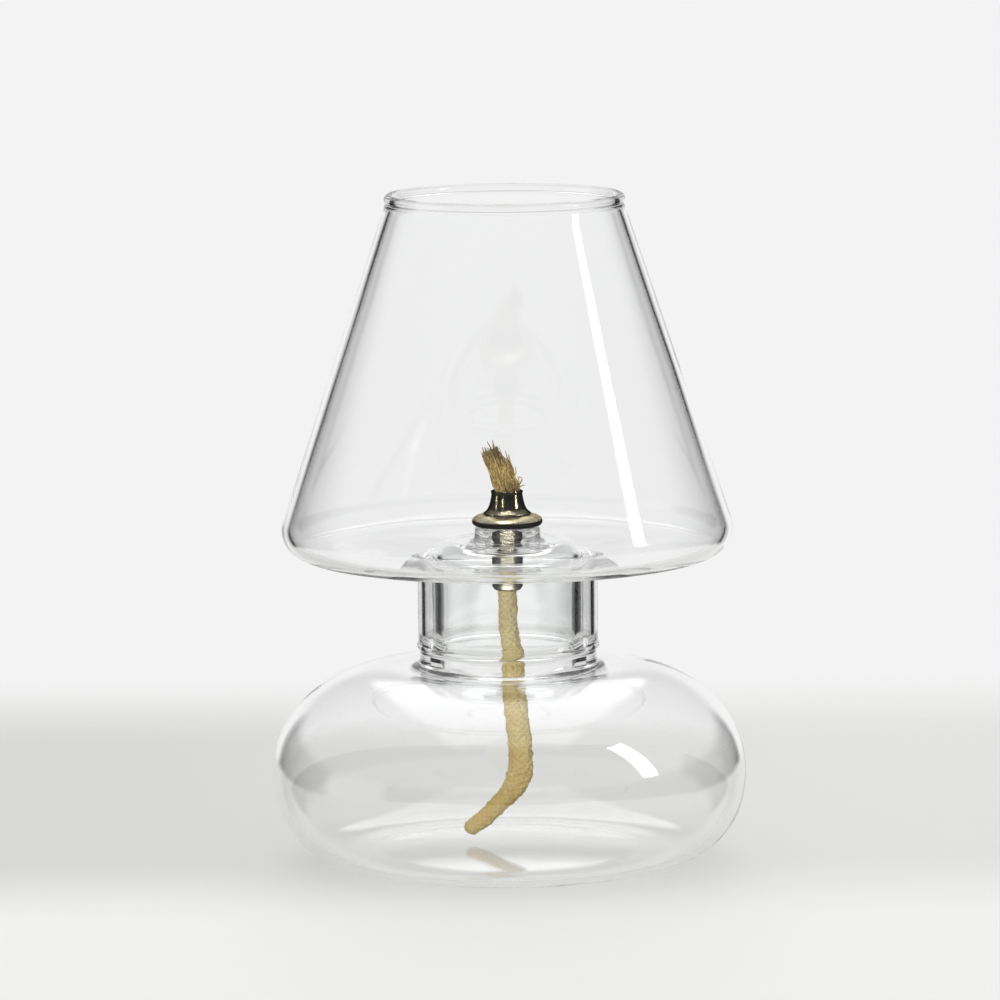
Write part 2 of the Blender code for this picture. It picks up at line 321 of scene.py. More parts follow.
def make_camera():
    """The photograph's view: a long lens from a little above the lamp."""
    data = bpy.data.cameras.new("camera")
    data.lens = CAMERA_LENS
    data.sensor_width = CAMERA_SENSOR
    data.shift_x, data.shift_y = CAMERA_SHIFT
    data.clip_start = CAMERA_NEAR
    camera = link(bpy.data.objects.new("camera", data))
    back = Vector((0.0, -math.cos(CAMERA_PITCH), math.sin(CAMERA_PITCH)))
    camera.location = TARGET + back * CAMERA_DISTANCE
    aim = Euler((math.pi / 2 - CAMERA_PITCH, 0.0, 0.0)).to_matrix()
    camera.rotation_euler = (aim @ Euler((0.0, 0.0, CAMERA_ROLL)).to_matrix()).to_euler()
    bpy.context.scene.camera = camera


# ---------------------------------------------------------------- outlines, in radius and height


def arc(centre_r, centre_z, radius, start, end, segments):
    """Points of a round corner, with angles in degrees from +R towards +Z."""
    return oval(centre_r, centre_z, radius, radius, start, end, segments)


def oval(centre_r, centre_z, half_width, half_height, start, end, segments, fullness=2.0):
    """Points of an ellipse, or of a fuller curve where fullness is above 2."""
    points = []
    for i in range(segments + 1):
        angle = math.radians(start + (end - start) * i / segments)
        c = math.cos(angle)
        s = math.sin(angle)
        reach = (abs(c) ** fullness + abs(s) ** fullness) ** (-1 / fullness)
        points.append((centre_r + half_width * c * reach, centre_z + half_height * s * reach))
    return points


def kick(floor_z):
    """Points of the domed middle of the base, from the foot ring's inner edge to the axis."""
    segments = 20
    points = []
    for i in range(segments + 1):
        share = 1 - i / segments
        points.append((FOOT_INNER_RADIUS * share, floor_z + KICK_HEIGHT * (1 - share**2)))
    return points


def bulb_side(wall):
    """Points of the bulb, down from its crest to its base, set in by wall."""
    wide = BULB_RADIUS - wall
    rise = BULB_CREST_Z - BULB_EQUATOR_Z - wall
    drop = BULB_EQUATOR_Z - wall
    upper = oval(BULB_CREST_RADIUS, BULB_EQUATOR_Z, wide - BULB_CREST_RADIUS, rise, 90, 0, 48)
    lower = oval(BASE_RADIUS, BULB_EQUATOR_Z, wide - BASE_RADIUS, drop, 0, -90, 40, BASE_FULLNESS)
    return upper + lower[1:]


def reservoir_outline():
    """From the middle of the inner floor, up the inside, over the lip, and down the outside to the axis."""
    bore = NECK_RADIUS - NECK_WALL
    throat_z = BULB_CREST_Z - GLASS_WALL + THROAT_RADIUS
    inner_shoulder = SHOULDER_RADIUS - GLASS_WALL
    dome_under = DOME_Z - NECK_WALL
    inside = kick(GLASS_WALL)[::-1]
    inside += bulb_side(GLASS_WALL)[::-1]
    inside += arc(bore + THROAT_RADIUS, throat_z, THROAT_RADIUS, 270, 180, 16)
    inside += arc(bore - inner_shoulder, dome_under - inner_shoulder, inner_shoulder, 0, 90, 16)
    inside += arc(HOLE_RADIUS + LIP_ROUND, dome_under + LIP_ROUND, LIP_ROUND, 270, 180, 8)
    lip = arc(HOLE_RADIUS + LIP_ROUND, LIP_TOP_Z - LIP_ROUND, LIP_ROUND, 180, 90, 8)
    lip += arc(LIP_RADIUS - LIP_ROUND, LIP_TOP_Z - LIP_ROUND, LIP_ROUND, 90, 0, 8)
    lip += arc(LIP_RADIUS + LIP_FILLET, DOME_Z + LIP_FILLET, LIP_FILLET, 180, 270, 8)
    outside = arc(NECK_RADIUS - SHOULDER_RADIUS, DOME_Z - SHOULDER_RADIUS, SHOULDER_RADIUS, 90, 0, 20)
    outside += arc(NECK_RADIUS + LIP_ROUND, LEDGE_Z + LIP_ROUND, LIP_ROUND, 180, 270, 8)
    outside += arc(LEDGE_RADIUS - LIP_ROUND, LEDGE_Z - LIP_ROUND, LIP_ROUND, 90, 0, 8)
    outside += arc(LEDGE_RADIUS + LEDGE_FILLET, BULB_CREST_Z + LEDGE_FILLET, LEDGE_FILLET, 180, 270, 12)
    outside += bulb_side(0.0)
    outside += kick(0.0)
    return inside + lip + outside


def cone_radius(z):
    """Outer radius of the shade's cone at a height."""
    return CONE_TOP_RADIUS + (CONE_TOP_Z - z) * math.tan(CONE_HALF_ANGLE)


def shade_outline():
    """A closed outline: over the rim, down the outside to the collar's end, and up the inside."""
    slope = math.degrees(CONE_HALF_ANGLE)
    corner_z = SHADE_FLOOR_Z + SHADE_FLOOR_RISE + CORNER_RADIUS
    corner_r = cone_radius(corner_z) - CORNER_RADIUS / math.cos(CONE_HALF_ANGLE)
    bore = COLLAR_RADIUS - COLLAR_WALL
    rim = arc(RIM_RADIUS, RIM_Z, RIM_BEAD, 215, -40, 28)
    outside = [(cone_radius(WAIST_Z), WAIST_Z)]
    outside += arc(corner_r, corner_z, CORNER_RADIUS, slope, -85, 28)
    outside += arc(COLLAR_RADIUS + SHADE_WALL, SHADE_FLOOR_Z - SHADE_WALL, SHADE_WALL, 90, 180, 12)
    outside += arc(bore + COLLAR_END_BEAD, COLLAR_END_Z + COLLAR_END_BEAD, COLLAR_END_BEAD, 50, -180, 20)
    inside = arc(bore + SHADE_WALL, SHADE_FLOOR_Z + SHADE_FLOOR_EDGE, SHADE_WALL, 180, 90, 12)
    inside += arc(corner_r, corner_z, CORNER_RADIUS - SHADE_WALL, -85, slope, 24)
    return rim + outside + inside


def wick_tube_outline():
    """A plain tube with a shoulder under the plate and a crimped lower end."""
    return [
        (TUBE_BORE, TUBE_TOP_Z),
        (TUBE_NECK_RADIUS, TUBE_TOP_Z),
        (TUBE_NECK_RADIUS, TUBE_SHOULDER_Z),
        (TUBE_RADIUS, TUBE_SHOULDER_Z),
        (TUBE_RADIUS, TUBE_BOTTOM_Z + TUBE_CRIMP),
        (TUBE_CRIMP_RADIUS, TUBE_BOTTOM_Z),
        (TUBE_BORE, TUBE_BOTTOM_Z),
    ]


def drip_plate_outline():
    """The plate's rim is a rolled bead, and its top falls away to it in one soft crown."""
    crown_r = HUB_BORE + PLATE_SHEET
    crown_width = PLATE_BEAD_RADIUS + PLATE_BEAD - crown_r
    top_z = HUB_Z + PLATE_SHEET
    bead = oval(crown_r, PLATE_BEAD_Z, crown_width, top_z - PLATE_BEAD_Z, 90, 0, 28, PLATE_FULLNESS)
    bead += arc(PLATE_BEAD_RADIUS, PLATE_BEAD_Z, PLATE_BEAD, -10, -170, 16)
    web_z = HUB_Z - PLATE_DIP
    top = [(HUB_BORE, top_z)]
    bend = (PLATE_BEAD_RADIUS - PLATE_BEAD, PLATE_BEAD_Z + PLATE_DIP)
    return top + bead + [bend, (PLATE_WEB_RADIUS, web_z), (HUB_BORE, HUB_Z)]


def nozzle_outline():
    """A trumpet with a rolled mouth."""
    segments = 20
    below_roll = 3
    foot_z = NOZZLE_FOOT_Z - NOZZLE_SEAT
    outer = arc(HUB_BORE + NOZZLE_ROLL, NOZZLE_TOP_Z - NOZZLE_ROLL, NOZZLE_ROLL, 180, -30, 18)
    for i in range(below_roll, segments + 1):
        share = i / segments
        widening = NOZZLE_TAPER_SHARE * share**NOZZLE_TAPER_POWER
        widening += NOZZLE_FLARE_SHARE * share**NOZZLE_FLARE_POWER
        r = NOZZLE_TOP_RADIUS + (NOZZLE_FOOT_RADIUS - NOZZLE_TOP_RADIUS) * widening
        outer.append((r, NOZZLE_TOP_Z + (foot_z + NOZZLE_EDGE - NOZZLE_TOP_Z) * share))
    foot = [(NOZZLE_FOOT_RADIUS - NOZZLE_EDGE, foot_z), (HUB_BORE, foot_z)]
    return outer + foot


# ---------------------------------------------------------------- turned meshes


def filled_in(outline, closed):
    """The outline with its long straight runs cut into steps no longer than LONGEST_RUN."""
    ends = outline[1:] + ([outline[0]] if closed else [])
    points = []
    for (r0, z0), (r1, z1) in zip(outline, ends):
        cuts = max(1, math.ceil(math.hypot(r1 - r0, z1 - z0) / LONGEST_RUN))
        for k in range(cuts):
            t = k / cuts
            points.append((r0 + (r1 - r0) * t, z0 + (z1 - z0) * t))
    if not closed:
        points.append(outline[-1])
    return points


def wave(spot):
    """Height of the glass's faint waves at a place, from about -1 to 1."""
    return noise.noise(spot / WAVE_LONG) + WAVE_SHORT_SHARE * noise.noise(spot / WAVE_SHORT)


def turned(name, outline, steps, closed=True, waves=0.0):
    """The outline in the XZ plane, spun round Z, with its surface waving in and out by waves."""
    outline = [p for i, p in enumerate(outline) if i == 0 or math.dist(p, outline[i - 1]) > SAME_POINT]
    profile = filled_in(outline, closed)
    verts = []
    rings = []
    for i, (r, z) in enumerate(profile):
        if r < ON_AXIS:
            rings.append([len(verts)] * steps)
            verts.append((0.0, 0.0, z))
            continue
        before, after = profile[i - 1], profile[(i + 1) % len(profile)]
        out = Vector((after[1] - before[1], before[0] - after[0])).normalized()
        rings.append(list(range(len(verts), len(verts) + steps)))
        for k in range(steps):
            angle = math.tau * k / steps
            spot = Vector((r * math.cos(angle), r * math.sin(angle), z))
            move = waves * wave(spot) * min(1.0, z / WAVE_FULL_Z) if waves else 0.0
            reach = r + out.x * move
            verts.append((reach * math.cos(angle), reach * math.sin(angle), z + out.y * move))
    faces = []
    for low, high in zip(rings, rings[1:] + ([rings[0]] if closed else [])):
        for k in range(steps):
            n = (k + 1) % steps
            corners = [low[k], high[k], high[n], low[n]]
            faces.append(list(dict.fromkeys(corners)))
    mesh = bpy.data.meshes.new(name)
    mesh.from_pydata(verts, [], faces)
    mesh.validate()
    mesh.shade_smooth()
    return link(bpy.data.objects.new(name, mesh))


# ---------------------------------------------------------------- materials


class Nodes:
    """Builds the nodes of one tree. A value is a socket, or a number where the method allows one."""

    def __init__(self, tree):
        self.tree = tree
        tree.nodes.clear()

    def add(self, kind, **settings):
        """A new node with its settings."""
        node = self.tree.nodes.new(kind)
        for key, value in settings.items():
            setattr(node, key, value)
        return node

    def wire(self, source, target):
        """Link an output to an input."""
        self.tree.links.new(source, target)

    def feed(self, value, socket):
        """Wire a socket to an input, or set a number or colour on it."""
        if isinstance(value, (int, float)):
            socket.default_value = value
        elif isinstance(value, tuple):
            socket.default_value = (*value, 1.0)
        else:
            self.wire(value, socket)

    def axes(self, vector):
        """The X, Y and Z of a vector."""
        node = self.add("ShaderNodeSeparateXYZ")
        self.wire(vector, node.inputs[0])
        return node.outputs

    def math(self, operation, *values):
        """One sum of one or two values."""
        node = self.add("ShaderNodeMath", operation=operation)
        for value, socket in zip(values, node.inputs):
            self.feed(value, socket)
        return node.outputs[0]

    def ramp(self, value, low, high, start=0.0, end=1.0):
        """The value from low to high, eased, becomes start to end."""
        node = self.add("ShaderNodeMapRange", interpolation_type="SMOOTHSTEP")
        self.wire(value, node.inputs["Value"])
        for name, number in (("From Min", low), ("From Max", high), ("To Min", start), ("To Max", end)):
            node.inputs[name].default_value = number
        return node.outputs["Result"]

    def noise(self, vector, scale, detail=3.0, roughness=0.5):
        """Noise from 0 to 1, with scale in waves a metre."""
        node = self.add("ShaderNodeTexNoise")
        self.wire(vector, node.inputs["Vector"])
        node.inputs["Scale"].default_value = scale
        node.inputs["Detail"].default_value = detail
        node.inputs["Roughness"].default_value = roughness
        return node.outputs["Fac"]

    def stretch(self, vector, scale):
        """The vector, scaled along each axis."""
        node = self.add("ShaderNodeMapping")
        self.wire(vector, node.inputs["Vector"])
        node.inputs["Scale"].default_value = scale
        return node.outputs["Vector"]

    def mix(self, factor, a, b):
        """Colour a, or b where the factor is 1."""
        node = self.add("ShaderNodeMix", data_type="RGBA")
        for value, index in ((factor, 0), (a, 6), (b, 7)):
            self.feed(value, node.inputs[index])
        return node.outputs[2]

    def mix_values(self, factor, a, b):
        """Number a, or b where the factor is 1."""
        node = self.add("ShaderNodeMix", data_type="FLOAT")
        for value, index in ((factor, 0), (a, 2), (b, 3)):
            self.feed(value, node.inputs[index])
        return node.outputs[0]

    def bump(self, height, strength, distance):
        """A normal from a height, with distance in metres."""
        node = self.add("ShaderNodeBump")
        node.inputs["Strength"].default_value = strength
        node.inputs["Distance"].default_value = distance
        self.wire(height, node.inputs["Height"])
        return node.outputs["Normal"]


def new_material(name):
    """A material with its node helper, its shader and the object coordinates."""
    made = bpy.data.materials.new(name)
    made.use_nodes = True
    nodes = Nodes(made.node_tree)
    shader = nodes.add("ShaderNodeBsdfPrincipled")
    out = nodes.add("ShaderNodeOutputMaterial")
    nodes.wire(shader.outputs[0], out.inputs["Surface"])
    place = nodes.add("ShaderNodeTexCoord").outputs["Object"]
    return made, nodes, shader, place


def glass(name, ior):
    """Clear blown glass: faint waves in the surface, a trace of green, and hardly any haze."""
    made, nodes, shader, place = new_material(name)
    shader.inputs["Transmission Weight"].default_value = 1.0
    shader.inputs["IOR"].default_value = ior
    tint = nodes.noise(place, scale=25.0, detail=2.0)
    nodes.wire(nodes.mix(tint, (0.994, 0.999, 0.996), (0.999, 1.0, 1.0)), shader.inputs["Base Color"])
    haze = nodes.noise(place, scale=160.0, detail=4.0)
    nodes.wire(nodes.ramp(haze, 0.6, 0.85, start=0.0, end=0.02), shader.inputs["Roughness"])
    waves = nodes.noise(nodes.stretch(place, (1.0, 1.0, 0.35)), scale=60.0, detail=1.0)
    nodes.wire(nodes.bump(waves, strength=0.06, distance=1.0 * MM), shader.inputs["Normal"])
    return made


def metal(name, light, dark, edge, roughness, low=None):
    """Plated brass with turning lines round the axis, small scuffs and duller patches.

    Where low is given, the piece's lowest part has another tone, a painted shade or a painted highlight: low
    holds the height it keeps up to, the height where it is gone, and the tone.
    """
    made, nodes, shader, place = new_material(name)
    shader.inputs["Metallic"].default_value = 1.0
    shader.inputs["Specular Tint"].default_value = (*edge, 1.0)
    patches = nodes.noise(place, scale=500.0, detail=5.0, roughness=0.6)
    colour = nodes.mix(nodes.ramp(patches, 0.35, 0.7), light, dark)
    # Painted shade or painted highlight on the lowest part.
    if low:
        up_to, gone_by, painted_shade_or_highlight = low
        colour = nodes.mix(nodes.ramp(nodes.axes(place)["Z"], up_to, gone_by), painted_shade_or_highlight, colour)
    nodes.wire(colour, shader.inputs["Base Color"])
    scuffs = nodes.noise(nodes.stretch(place, (1.0, 1.0, 6.0)), scale=900.0, detail=6.0, roughness=0.7)
    dulled = nodes.ramp(scuffs, 0.3, 0.75, start=roughness * 0.6, end=roughness * 1.6)
    nodes.wire(dulled, shader.inputs["Roughness"])
    lines = nodes.noise(nodes.stretch(place, (0.4, 0.4, 14.0)), scale=800.0, detail=3.0)
    nodes.wire(nodes.bump(lines, strength=0.08, distance=0.1 * MM), shader.inputs["Normal"])
    return made


def cotton(name, light, dark, stain_and_shade_colour, stained, painted_hollow_shade=0.0):
    """Braided cotton with fine fibres and stained patches and spots.

    The stain also deepens along the piece: stained holds the height where that starts, the height where it is
    full, and its strength there. The last argument is the strength of the painted shade between the yarns, in
    the stain's colour.
    """
    made, nodes, shader, place = new_material(name)
    shader.inputs["Roughness"].default_value = 0.95
    shader.inputs["Sheen Weight"].default_value = 0.1
    shader.inputs["Sheen Roughness"].default_value = 0.6
    fibres = nodes.noise(nodes.stretch(place, (1.0, 1.0, 0.25)), scale=2600.0, detail=6.0, roughness=0.7)
    tone = nodes.mix(nodes.ramp(fibres, 0.4, 0.6), dark, light)
    # Painted shade: the hollows between the yarns are darkened towards the stain colour.
    if painted_hollow_shade:
        yarn = nodes.add("ShaderNodeAttribute", attribute_name="yarn").outputs["Fac"]
        tone = nodes.mix(nodes.ramp(yarn, 0.4, 0.9, start=painted_hollow_shade, end=0.0), tone, stain_and_shade_colour)
    starts, full, strength = stained
    tone = nodes.mix(nodes.ramp(nodes.axes(place)["Z"], starts, full, start=0.0, end=strength), tone, stain_and_shade_colour)
    patches = nodes.noise(place, scale=140.0, detail=3.0)
    tone = nodes.mix(nodes.ramp(patches, 0.45, 0.7, start=0.0, end=0.45), tone, stain_and_shade_colour)
    spots = nodes.noise(place, scale=320.0, detail=2.0)
    nodes.wire(nodes.mix(nodes.ramp(spots, 0.64, 0.8), tone, stain_and_shade_colour), shader.inputs["Base Color"])
    nodes.wire(nodes.bump(fibres, strength=0.5, distance=0.25 * MM), shader.inputs["Normal"])
    return made


def wick_cotton():
    """The upper wick: golden brown, and singed at the tips of the tuft."""
    return cotton(
        "wick_cotton",
        light=(0.9, 0.71, 0.32),
        dark=(0.33, 0.23, 0.08),
        stain_and_shade_colour=(0.2, 0.12, 0.05),
        stained=(0.094, 0.099, 0.75),
    )


def tail_cotton():
    """The clean tail of the wick: cream, with painted shade in the hollows between its yarns, and deeper in
    tone towards its end.
    """
    return cotton(
        "tail_cotton",
        light=(1.0, 0.92, 0.54),
        dark=(0.94, 0.8, 0.4),
        stain_and_shade_colour=(0.68, 0.48, 0.19),
        stained=(0.055, 0.015, 0.42),
        painted_hollow_shade=0.6,
    )


def tube_metal():
    """Dull dark metal."""
    return metal("tube_metal", (0.1, 0.095, 0.078), (0.075, 0.07, 0.056), (0.07, 0.07, 0.06), roughness=0.24)


def plate_metal():
    """Pale brass, with painted shade under its rim."""
    # Painted shade: the underside of the rim's bead is darkened, where shade falls.
    painted_shade_under_rim = (PLATE_BEAD_Z + 0.1 * MM, PLATE_BEAD_Z + 0.5 * MM, (0.03, 0.025, 0.02))
    return metal(
        "plate_metal", (0.72, 0.66, 0.5), (0.5, 0.45, 0.32), (0.6, 0.55, 0.45), roughness=0.32, low=painted_shade_under_rim
    )


def nozzle_metal():
    """Dark polished brass with a painted highlight on its foot."""
    # Painted highlight: the foot, where it meets the plate, is lighter.
    painted_highlight_foot = (NOZZLE_FOOT_Z + 0.4 * MM, NOZZLE_FOOT_Z + 1.2 * MM, (0.27, 0.24, 0.175))
    return metal(
        "nozzle_metal",
        (0.055, 0.047, 0.03),
        (0.035, 0.03, 0.019),
        (0.08, 0.08, 0.07),
        roughness=0.1,
        low=painted_highlight_foot,
    )


def dress(piece, made):
    """Give a piece its material."""
    piece.data.materials.clear()
    piece.data.materials.append(made)
    return piece


# ---------------------------------------------------------------- wick


def smooth_route(points, count):
    """Evenly spaced points on a smooth curve through the given ones, and its length.

    Each point carries its radius as a fourth number.
    """
    padded = [2 * points[0] - points[1], *points, 2 * points[-1] - points[-2]]
    fine = []
    for a, b, c, d in zip(padded, padded[1:], padded[2:], padded[3:]):
        for k in range(ROUTE_CUTS):
            t = k / ROUTE_CUTS
            bend = 2 * a - 5 * b + 4 * c - d
            fine.append(0.5 * (2 * b + (c - a) * t + bend * t**2 + (3 * b - a - 3 * c + d) * t**3))
    fine.append(points[-1])
    lengths = travelled_along(fine)
    even = []
    j = 0
    for i in range(count):
        want = lengths[-1] * i / (count - 1)
        while j < len(fine) - 2 and lengths[j + 1] < want:
            j += 1
        span = lengths[j + 1] - lengths[j]
        even.append(fine[j].lerp(fine[j + 1], (want - lengths[j]) / span))
    return even, lengths[-1]


def travelled_along(line):
    """How far along a line each of its points is."""
    lengths = [0.0]
    for a, b in zip(line, line[1:]):
        lengths.append(lengths[-1] + (b - a).to_3d().length)
    return lengths


def yarn_height(angle, travelled):
    """Height of the braid, 0 in its hollows and 1 on its yarns, which pass over and under each other."""
    turn = math.tau * travelled / BRAID_PITCH
    left = BRAID_YARNS / 4 * (angle + turn)
    right = BRAID_YARNS / 4 * (angle - turn)
    over = 0.5 + 0.5 * math.sin(left) * math.sin(right)
    one = abs(math.cos(left)) ** YARN_ROUNDNESS * (YARN_UNDER + YARN_RISE * over)
    other = abs(math.cos(right)) ** YARN_ROUNDNESS * (1.0 - YARN_RISE * over)
    return max(one, other)


def braided(name, line, blunt_end=0.0):
    """A braided cord along a line of points that carry their radius, rounded over its last stretch."""
    around = BRAID_STEPS
    verts = []
    faces = []
    heights = []
    travelled = travelled_along(line)
    side = Vector((1.0, 0.0, 0.0))
    for i, point in enumerate(line):
        ahead = (line[min(i + 1, len(line) - 1)] - line[max(i - 1, 0)]).to_3d().normalized()
        side = (side - ahead * side.dot(ahead)).normalized()
        other = ahead.cross(side)
        size = point.w
        left = travelled[-1] - travelled[i]
        if left < blunt_end:
            size *= max(1 - (1 - left / blunt_end) ** 2, SMALLEST_END) ** 0.5
        for k in range(around):
            angle = math.tau * k / around
            way = side * math.cos(angle) + other * math.sin(angle)
            spot = Vector((math.cos(angle), math.sin(angle), travelled[i] / LUMP_LENGTH))
            lump = sum(tall * noise.noise(spot * often) for tall, often in LUMPS)
            height = yarn_height(angle, travelled[i])
            heights.append(height)
            verts.append(point.to_3d() + way * size * (1 - BRAID_RELIEF * (1 - height) + lump))
        if i:
            a, b = (i - 1) * around, i * around
            for k in range(around):
                n = (k + 1) % around
                faces.append([a + k, a + n, b + n, b + k])
    faces.append(list(range(around))[::-1])
    faces.append([(len(line) - 1) * around + k for k in range(around)])
    mesh = bpy.data.meshes.new(name)
    mesh.from_pydata(verts, [], faces)
    mesh.shade_smooth()
    mesh.attributes.new("yarn", "FLOAT", "POINT").data.foreach_set("value", heights)
    return link(bpy.data.objects.new(name, mesh))


def build_tail(finish):
    """The free tail of the wick, which hangs and curls in the reservoir."""
    route = [Vector(place) * MM for place in TAIL_ROUTE]
    line, length = smooth_route(route, TAIL_POINTS)
    tail = dress(braided("wick_tail_braid", line, TAIL_BLUNT_END), finish)
    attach(tail, "wick")
    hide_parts("wick_tail")
    return tail


def build_core(finish):
    """The wick from the tube's lower end to the foot of the tuft."""
    bottom = Vector((0.0, 0.0, TUBE_BOTTOM_Z, WICK_RADIUS))
    top = Vector((0.0, 0.0, WICK_TOP_Z, WICK_RADIUS))
    line = [bottom.lerp(top, i / WICK_RINGS) for i in range(WICK_RINGS + 1)]
    core = dress(braided("wick_braid", line), finish)
    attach(core, "wick")
    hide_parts("wick")
    return core


def strand_points(rng, locks):
    """One strand in millimetres, which leans with the others, opens out and follows its lock at the tip."""
    spin = rng.uniform(0.0, math.tau)
    out = math.sqrt(rng.random())
    u = out * math.cos(spin)
    v = out * math.sin(spin)
    lock = int(spin / math.tau * TUFT_LOCKS) + (TUFT_LOCKS if out > OUTER_LOCKS_FROM else 0)
    rise, part_x, part_y = locks[lock]
    crowned = TUFT_TOP - TUFT_CROWN * (u + TUFT_CROWN_AT) ** 2
    fallen = crowned - TUFT_RIGHT_FALL * max(u, 0.0) - TUFT_DEPTH_FALL * v * v
    tip = fallen + rise + rng.gauss(0.0, TIP_SPREAD)
    bend = rng.gauss(0.0, BEND_SPREAD)
    curl = rng.gauss(0.0, BEND_SPREAD)
    opening = TUFT_OPEN * rng.uniform(*FRAY) - TUFT_CLOSE
    points = []
    for i in range(TUFT_KNOTS):
        t = i / (TUFT_KNOTS - 1)
        lean = TUFT_LEAN * max(t - TUFT_LEAN_FROM, 0.0) ** TUFT_LEAN_POWER
        open_out = TUFT_RADIUS + TUFT_SWELL * min(t / TUFT_SWELL_BY, 1.0) + opening * t * t
        kink = math.sin(math.pi * t) * math.sin(KINKS_ALONG * t + KINKS_ACROSS * u)
        x = lean + u * open_out + bend * kink + part_x * t * t + rng.gauss(0.0, FUZZ)
        y = v * open_out + curl * kink + part_y * t * t + rng.gauss(0.0, FUZZ)
        points.append((x, y, TUFT_FOOT + (tip - TUFT_FOOT) * t))
    return points


def add_strand(curve, points, thickness):
    """A strand in millimetres, which thins towards its tip."""
    spline = curve.splines.new("POLY")
    spline.points.add(len(points) - 1)
    for i, (knot, (x, y, z)) in enumerate(zip(spline.points, points)):
        knot.co = (x * MM, y * MM, z * MM, 1.0)
        knot.radius = thickness * (1.0 - STRAND_THINNING * (i / (len(points) - 1)) ** 3)


def build_tuft(finish):
    """The frayed top: many fine strands that lean to one side and part at their tips."""
    rng = random.Random(TUFT_SEED)
    curve = bpy.data.curves.new("wick_tuft", "CURVE")
    curve.dimensions = "3D"
    curve.bevel_depth = STRAND_RADIUS
    curve.bevel_resolution = 1
    curve.use_fill_caps = True
    locks = [[rng.gauss(0.0, spread) for spread in LOCK_SPREAD] for _ in range(2 * TUFT_LOCKS)]
    for _ in range(TUFT_STRANDS):
        points = strand_points(rng, locks)
        add_strand(curve, points, rng.uniform(*STRAND_THICKNESS))
    for points in TUFT_STRAYS:
        add_strand(curve, points, STRAY_THICKNESS)
    tuft = dress(link(bpy.data.objects.new("wick_tuft", curve)), finish)
    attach(tuft, "wick")
    return tuft


# ---------------------------------------------------------------- glass and metal


def stand_in(piece, body, node):
    """Let a piece ride on a body and stand for a CAD node."""
    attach(piece, body)
    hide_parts(node)
    return piece


def build_reservoir():
    """The squashed bulb with its neck, dome and lip, blown in one piece."""
    piece = turned("reservoir_glass", reservoir_outline(), GLASS_STEPS, closed=False, waves=GLASS_WAVES)
    finish = glass("reservoir_glass", GLASS_IOR)
    return stand_in(dress(piece, finish), "reservoir", "reservoir")


def build_shade():
    """The cone with its beaded rim and its collar, blown in one piece."""
    piece = turned("shade_glass", shade_outline(), GLASS_STEPS, waves=GLASS_WAVES)
    finish = glass("shade_glass", SHADE_IOR)
    return stand_in(dress(piece, finish), "shade", "shade")


def build_tube():
    """The tube that holds the wick."""
    piece = turned("tube_turned", wick_tube_outline(), METAL_STEPS)
    return stand_in(dress(piece, tube_metal()), "burner", "wick_tube")


def build_plate():
    """The drip plate, which rests on the glass lip."""
    piece = turned("plate_pressed", drip_plate_outline(), METAL_STEPS)
    return stand_in(dress(piece, plate_metal()), "burner", "drip_plate")


def build_nozzle():
    """The flared nozzle round the tube's upper end."""
    piece = turned("nozzle_pressed", nozzle_outline(), METAL_STEPS)
    return stand_in(dress(piece, nozzle_metal()), "burner", "nozzle")


# ---------------------------------------------------------------- studio


def floor_share(nodes, x, y):
    """How solid the floor is: 1 round the lamp, and 0 at its edges and from below."""
    fade = nodes.ramp(y, *FLOOR_FAR_FADE, start=1.0, end=0.0)
    nearness = nodes.math("MAXIMUM", nodes.math("MULTIPLY", y, -FLOOR_SPREAD), 0.0)
    aside = nodes.math("SUBTRACT", nodes.math("ABSOLUTE", x), nearness)
    fade = nodes.math("MULTIPLY", fade, nodes.ramp(aside, *FLOOR_SIDE_FADE, start=1.0, end=0.0))
    fade = nodes.math("MULTIPLY", fade, nodes.ramp(y, *FLOOR_NEAR_FADE))
    under = nodes.add("ShaderNodeNewGeometry").outputs["Backfacing"]
    return nodes.math("MULTIPLY", fade, nodes.math("SUBTRACT", 1.0, under))


def floor_material():
    """A pale matt surface, lit mostly from within, with painted light bright in front and painted shade
    behind, darkest behind the lamp's left.
    """
    made, nodes, shader, place = new_material("studio_floor")
    x, y, _ = nodes.axes(place)
    # Painted light and shade: bright in front, darker behind the lamp, darkest at its left.
    painted_shade_behind = nodes.mix(nodes.ramp(x, *FLOOR_PAINTED_SHADE_ACROSS), FLOOR_LEFT_PAINTED_SHADE, FLOOR_RIGHT_PAINTED_SHADE)
    colour = nodes.mix(nodes.ramp(y, *FLOOR_PAINTED_SHADE_DEPTH), FLOOR_FRONT_PAINTED_LIGHT, painted_shade_behind)
    grain = nodes.noise(place, scale=90.0, detail=3.0)
    colour = nodes.mix(nodes.ramp(grain, 0.2, 0.9, start=0.0, end=0.02), colour, FLOOR_SPECK_TONE)
    nodes.wire(colour, shader.inputs["Emission Color"])
    nodes.wire(nodes.mix(FLOOR_ALBEDO, (0.0, 0.0, 0.0), colour), shader.inputs["Base Color"])
    shader.inputs["Emission Strength"].default_value = FLOOR_GLOW
    shader.inputs["Roughness"].default_value = 0.7
    shader.inputs["Specular IOR Level"].default_value = 0.2
    clear = nodes.add("ShaderNodeBsdfTransparent")
    blend = nodes.add("ShaderNodeMixShader")
    nodes.wire(floor_share(nodes, x, y), blend.inputs[0])
    nodes.wire(clear.outputs[0], blend.inputs[1])
    nodes.wire(shader.outputs[0], blend.inputs[2])
    out = next(n for n in made.node_tree.nodes if n.type == "OUTPUT_MATERIAL")
    nodes.wire(blend.outputs[0], out.inputs["Surface"])
    return made


